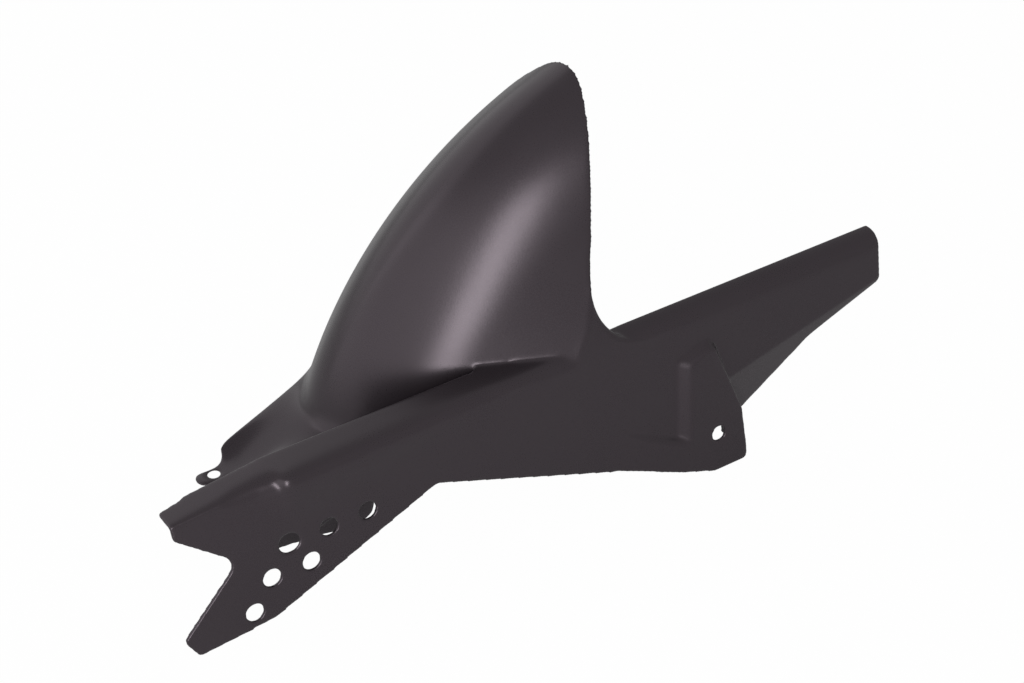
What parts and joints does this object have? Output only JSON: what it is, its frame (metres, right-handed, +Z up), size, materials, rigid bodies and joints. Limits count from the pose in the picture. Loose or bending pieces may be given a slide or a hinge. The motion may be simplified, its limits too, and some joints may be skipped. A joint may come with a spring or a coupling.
{
  "type": "motorcycle rear hugger",
  "caption": "Formed black plastic rear hugger with a tyre hump, a chain tunnel with a drilled side plate, a front mounting tab and a rear chain-guard arm.",
  "frame": {"origin": "centre of the front tab's hole, on the tab's top face", "axes": "+X to the rear of the bike, +Y to its right (the wheel's middle plane is y = 0 and the chain side is at -Y), +Z up"},
  "size_m": [0.5689, 0.2317, 0.2831],
  "materials": {
    "abs": "satin"
  },
  "bodies": {
    "root": {"rear_hugger": "abs"}
  },
  "joints": []
}
